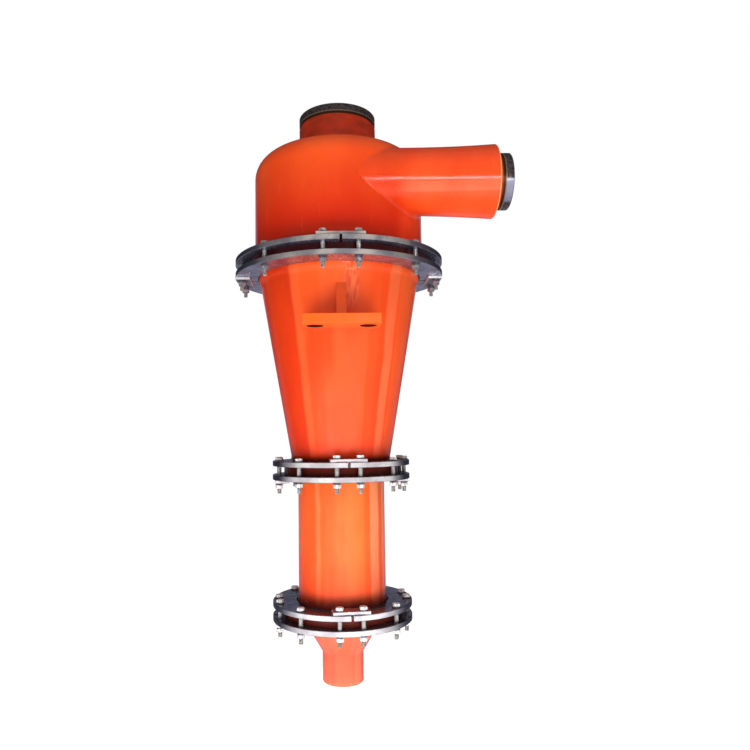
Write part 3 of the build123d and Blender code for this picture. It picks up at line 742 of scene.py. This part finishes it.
def makeBolt(name, length):
    radius = bolt["diameter"] / 2
    # Shank, with rings cut across it where the thread is
    bpy.ops.mesh.primitive_cylinder_add(
        vertices=bolt["around"], radius=radius, depth=bolt["threadLength"], end_fill_type="NGON",
        location=(0, 0, bolt["threadLength"] / 2 - length),
    )
    shank = bpy.context.object
    bpy.ops.object.transform_apply(location=True, rotation=False, scale=False)
    turns = bolt["threadLength"] / bolt["pitch"]
    bpy.ops.object.mode_set(mode="EDIT")
    bpy.ops.mesh.select_mode(type="EDGE")
    bpy.ops.mesh.select_all(action="DESELECT")
    bpy.ops.object.mode_set(mode="OBJECT")
    for edge in shank.data.edges:
        ends = [shank.data.vertices[v].co.z for v in edge.vertices]
        edge.select = abs(ends[0] - ends[1]) > bolt["pitch"]
    bpy.ops.object.mode_set(mode="EDIT")
    bpy.ops.mesh.subdivide(number_cuts=round(turns * bolt["perTurn"]) - 1)
    bpy.ops.mesh.select_mode(type="FACE")
    bpy.ops.mesh.select_all(action="DESELECT")
    bpy.ops.object.mode_set(mode="OBJECT")
    # The thread's wave runs round the shank, and fades where it starts
    for vertex in shank.data.vertices:
        flat = Vector((vertex.co.x, vertex.co.y))
        angle = math.atan2(flat.y, flat.x) / (2 * math.pi)
        up = vertex.co.z + length
        wave = abs(((up / bolt["pitch"] - angle) % 1) * 2 - 1)  # 0 at a crest, 1 at a root
        depth = bolt["threadDepth"] * min(1, max(0, (wave - bolt["threadFlat"]) / (1 - 2 * bolt["threadFlat"])))
        fade = min(1, (bolt["threadLength"] - up) / (bolt["runOut"] * bolt["pitch"]))
        reach = min(radius - depth * fade, radius - bolt["endChamfer"] + up)
        vertex.co.x, vertex.co.y = flat.normalized() * reach
    # The plain length grows out of the thread's top face
    for face in shank.data.polygons:
        face.select = face.normal.z > 0.9 and face.center.z > bolt["threadLength"] - length - 1 * mm
    bpy.ops.object.mode_set(mode="EDIT")
    plain = length - bolt["threadLength"]
    bpy.ops.mesh.extrude_region_move(TRANSFORM_OT_translate={"value": (0, 0, plain)})
    bpy.ops.object.mode_set(mode="OBJECT")
    # Hexagon head, its corners turned down by a cone
    cornerR = bolt["headWidth"] / math.sqrt(3)
    bpy.ops.mesh.primitive_cylinder_add(
        vertices=6, radius=cornerR, depth=bolt["headHeight"], location=(0, 0, bolt["headHeight"] / 2),
    )
    head = bpy.context.object
    coneTop = cornerR - bolt["headChamfer"]
    coneHeight = 4 * bolt["headHeight"]
    bpy.ops.mesh.primitive_cone_add(
        vertices=bolt["coneFacets"], radius1=coneTop + coneHeight * math.sqrt(3), radius2=coneTop,
        depth=coneHeight, location=(0, 0, bolt["headHeight"] - coneHeight / 2),
    )
    cutter = bpy.context.object
    turnDown = head.modifiers.new("turnDown", "BOOLEAN")
    turnDown.operation = "INTERSECT"
    turnDown.solver = "EXACT"
    turnDown.object = cutter
    bpy.context.view_layer.objects.active = head
    bpy.ops.object.modifier_apply(modifier="turnDown")
    bpy.data.objects.remove(cutter)
    bpy.ops.object.select_all(action="DESELECT")
    head.select_set(True)
    shank.select_set(True)
    bpy.context.view_layer.objects.active = head
    bpy.ops.object.transform_apply(location=True, rotation=True, scale=True)
    joinUp = head.modifiers.new("joinUp", "BOOLEAN")
    joinUp.operation = "UNION"
    joinUp.solver = "EXACT"
    joinUp.object = shank
    bpy.ops.object.modifier_apply(modifier="joinUp")
    bpy.data.objects.remove(shank)
    head.name = name
    bpy.ops.object.select_all(action="DESELECT")
    return head


# A pair of bolts goes through each lap
def pairAngles(joint, directions):
    spread = math.degrees(math.asin(joint["pair"] / 2 / joint["boltR"]))
    return [middle + side * spread for middle in directions for side in (-1, 1)]


def placeBolts(model, jointName, angles, name, replaced):
    joint = joints[jointName]
    onTopLap = pairAngles(joint, lapDirections["top"])
    copies = []
    for number, angle in enumerate(angles):
        out = math.radians(angle + joint["turn"])
        under = stack["half"] + stack["washer"] + (stack["lap"] if angle in onTopLap else 0)
        place = Matrix.Translation((
            joint["boltR"] * math.cos(out), joint["boltR"] * math.sin(out), joint["height"] + under,
        )) @ Matrix.Rotation(math.radians(number * stack["wrench"]), 4, "Z")
        copy = bpy.data.objects.new(name, model.data.copy())
        bpy.context.scene.collection.objects.link(copy)
        copy.data.transform(place)
        copies.append(copy)
    bpy.ops.object.select_all(action="DESELECT")
    for copy in copies:
        copy.select_set(True)
    bpy.context.view_layer.objects.active = copies[0]
    bpy.ops.object.join()
    group = bpy.context.object
    group.name = name
    bpy.ops.object.shade_smooth_by_angle(angle=math.radians(bolt["smoothUnder"]))
    group.data.materials.clear()
    group.data.materials.append(zincPlatings[boltFinishes[jointName]])
    bpy.ops.object.select_all(action="DESELECT")
    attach(group, "root")
    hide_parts(replaced)


longModel = makeBolt("longBolt", bolt["long"])
shortModel = makeBolt("shortBolt", bolt["short"])
for jointName, joint in joints.items():
    lapAngles = pairAngles(joint, lapDirections["top"]) + pairAngles(joint, lapDirections["bottom"])
    placeBolts(longModel, jointName, lapAngles, jointName + "LongBolts", jointName + "_long_bolts")
    placeBolts(shortModel, jointName, shortDirections, jointName + "ShortBolts", jointName + "_short_bolts")
bpy.data.objects.remove(longModel)
bpy.data.objects.remove(shortModel)
print("stage: bolts done")

# Floor, plain and pale, well below the hanging cyclone, and the light
studio = {
    "floorZ": -1.02,
    "floorHalf": 9.0,
    "floorColor": "#ECECEC",
    "flecks": (0.6, (0.3, 0.7), 3),
    "fleckColor": "#F0F0F0",
    "floorLift": 0.62,  # seen only by the camera, so that the floor meets the white background
    "ambient": 0.4,
    "ambientColor": "#FFFDFB",
    "sunStrength": 0.5,
    "sunTurn": (48, 0, -5),  # degrees: from the front and above
    "sunSoftness": 50,
}
# Soft boxes: where each one is, what it faces, its width and height in metres, its brightness, whether
# glossy surfaces show it, and its beam in degrees
softBoxes = {
    "frontBox": {
        "at": (-0.08, -0.95, -0.8), "faces": (0.0, 0.0, -0.28), "size": (1.8, 0.8),
        "glow": 5.2, "glossy": False, "beam": 180,
    },
    "backBox": {
        "at": (-0.2, 1.2, -0.8), "faces": (0.0, 0.0, -0.1), "size": (2.0, 1.0),
        "glow": 3.0, "glossy": False, "beam": 180,
    },
    "inletStrip": {
        "at": (0.48, -1.5, 0.12), "faces": (0.25, -0.1, 0.29), "size": (0.8, 0.11),
        "glow": 0.9, "glossy": True, "beam": 44,
    },
}


def makeFloor():
    bpy.ops.mesh.primitive_plane_add(size=2, location=(0, 0, studio["floorZ"]))
    floor = bpy.context.object
    floor.name = "floor"
    floor.scale = (studio["floorHalf"], studio["floorHalf"], 1)
    bpy.ops.object.transform_apply(location=True, rotation=True, scale=True)
    material, tree = newMaterial("paleFloor")
    place = addNode(tree, "TexCoord")["Object"]
    flecks = blotches(tree, place, *studio["flecks"])
    color = layOver(tree, linear(studio["floorColor"]), studio["fleckColor"], flecks)
    surface = addNode(tree, "BsdfDiffuse", {"Color": color})
    seen = addNode(tree, "LightPath")["Is Camera Ray"]
    strength = addNode(tree, "Math", (seen, studio["floorLift"]), operation="MULTIPLY")[0]
    lift = addNode(tree, "Emission", {"Strength": strength})
    both = addNode(tree, "AddShader", (surface[0], lift[0]))
    addNode(tree, "OutputMaterial", {"Surface": both[0]})
    floor.data.materials.append(material)
    floor.visible_glossy = False


makeFloor()
sunData = bpy.data.lights.new("sun", "SUN")
sunData.energy = studio["sunStrength"]
sunData.angle = math.radians(studio["sunSoftness"])
sun = bpy.data.objects.new("sun", sunData)
sun.rotation_euler = [math.radians(v) for v in studio["sunTurn"]]
sun.visible_glossy = False
bpy.context.scene.collection.objects.link(sun)


def makeSoftBox(name, box):
    lamp = bpy.data.lights.new(name, "AREA")
    lamp.shape = "RECTANGLE"
    lamp.size, lamp.size_y = box["size"]
    lamp.energy = box["glow"] * math.pi * lamp.size * lamp.size_y  # watts for that brightness
    lamp.spread = math.radians(box["beam"])
    holder = bpy.data.objects.new(name, lamp)
    aim = Vector(box["faces"]) - Vector(box["at"])
    holder.location = box["at"]
    holder.rotation_euler = aim.to_track_quat("-Z", "Y").to_euler()
    holder.visible_camera = False
    holder.visible_glossy = box["glossy"]
    bpy.context.scene.collection.objects.link(holder)


for name, box in softBoxes.items():
    makeSoftBox(name, box)

# Surroundings: white to the camera, a soft room to glossy surfaces, an even light to the rest.
# Angles are degrees: up from level, and round to the right from the front
room = {
    # dark shade straight under the cyclone, pale ground, dark walls, paler ceiling
    "paintedBands": (
        (-90, "#45454E"), (-74, "#5C5C66"), (-62, "#A0A0AC"), (-30, "#AFB0BC"), (-16, "#A6A8B6"),
        (-9, "#6A6A76"), (-3, "#2A2A32"), (8, "#16161A"), (40, "#1C1C22"), (60, "#4C4E56"), (90, "#8A8C94"),
    ),
    "ahead": (-80, 100, 4),  # the pale ground's ends, and how softly it ends
    "behindShare": 0.45,
    # upright lights: direction, half width, lowest and highest, strength
    "columns": ((-66, 5, -48, -28, 0.5), (94, 6, -50, -20, 0.9)),
    "columnSoft": (3, 6),
    # bluish walls behind: half width either side of straight behind, lowest and highest, colour
    "walls": ((28, 8, 19, "#A8A8C4"), (55, -40, 2, "#6C6C78")),
    "wallSoft": (5, 6),
}


def makeWorld():
    world = bpy.data.worlds.new("studio")
    bpy.context.scene.world = world
    world.use_nodes = True
    tree = world.node_tree
    tree.nodes.clear()
    toRight, toBack, up = addNode(tree, "SeparateXYZ", (addNode(tree, "TexCoord")["Generated"],))
    rise = addNode(tree, "Math", (up,), operation="ARCSINE")[0]
    rise = addNode(tree, "Math", (rise, 180 / math.pi), operation="MULTIPLY")[0]
    toFront = addNode(tree, "Math", (toBack, -1), operation="MULTIPLY")[0]
    turn = addNode(tree, "Math", (toRight, toFront), operation="ARCTAN2")[0]
    turn = addNode(tree, "Math", (turn, 180 / math.pi), operation="MULTIPLY")[0]
    ahead = maskWhere(tree, *between(turn, *room["ahead"]))
    groundShare = addNode(tree, "Math", (
        ahead, 1 - room["behindShare"], room["behindShare"],
    ), operation="MULTIPLY_ADD")[0]
    reflected = addNode(tree, "VectorMath", {
        0: rampAlong(tree, rise, room["paintedBands"]), "Scale": groundShare,
    }, operation="SCALE")[0]
    sideSoft, upSoft = room["columnSoft"]
    for middle, half, low, high, strength in room["columns"]:
        column = maskWhere(
            tree, *between(turn, middle - half, middle + half, sideSoft), *between(rise, low, high, upSoft),
        )
        column = addNode(tree, "Math", (column, strength), operation="MULTIPLY")[0]
        reflected = addNode(tree, "VectorMath", (reflected, column), operation="ADD")[0]
    fromFront = addNode(tree, "Math", (turn,), operation="ABSOLUTE")[0]
    sideSoft, upSoft = room["wallSoft"]
    for half, low, high, wallColor in room["walls"]:
        behind = maskWhere(
            tree, (fromFront, 180 - half - sideSoft, 180 - half + sideSoft), *between(rise, low, high, upSoft),
        )
        wall = addNode(tree, "VectorMath", {0: linear(wallColor)[:3], "Scale": behind}, operation="SCALE")[0]
        reflected = addNode(tree, "VectorMath", (reflected, wall), operation="ADD")[0]
    shown = addNode(tree, "Background", {"Color": reflected, "Strength": 1.0})
    even = addNode(tree, "Background", {
        "Color": linear(studio["ambientColor"]), "Strength": studio["ambient"],
    })
    white = addNode(tree, "Background", {"Color": (1, 1, 1, 1), "Strength": 1.0})
    path = addNode(tree, "LightPath")
    shiny = addNode(tree, "Math", (
        path["Is Glossy Ray"], path["Is Transmission Ray"],
    ), operation="MAXIMUM")[0]
    mix = addNode(tree, "MixShader", (shiny, even[0], shown[0]))[0]
    mix = addNode(tree, "MixShader", (path["Is Camera Ray"], mix, white[0]))[0]
    addNode(tree, "OutputWorld", {"Surface": mix})


makeWorld()
bpy.context.scene.view_settings.view_transform = "Standard"
print("stage: studio done")
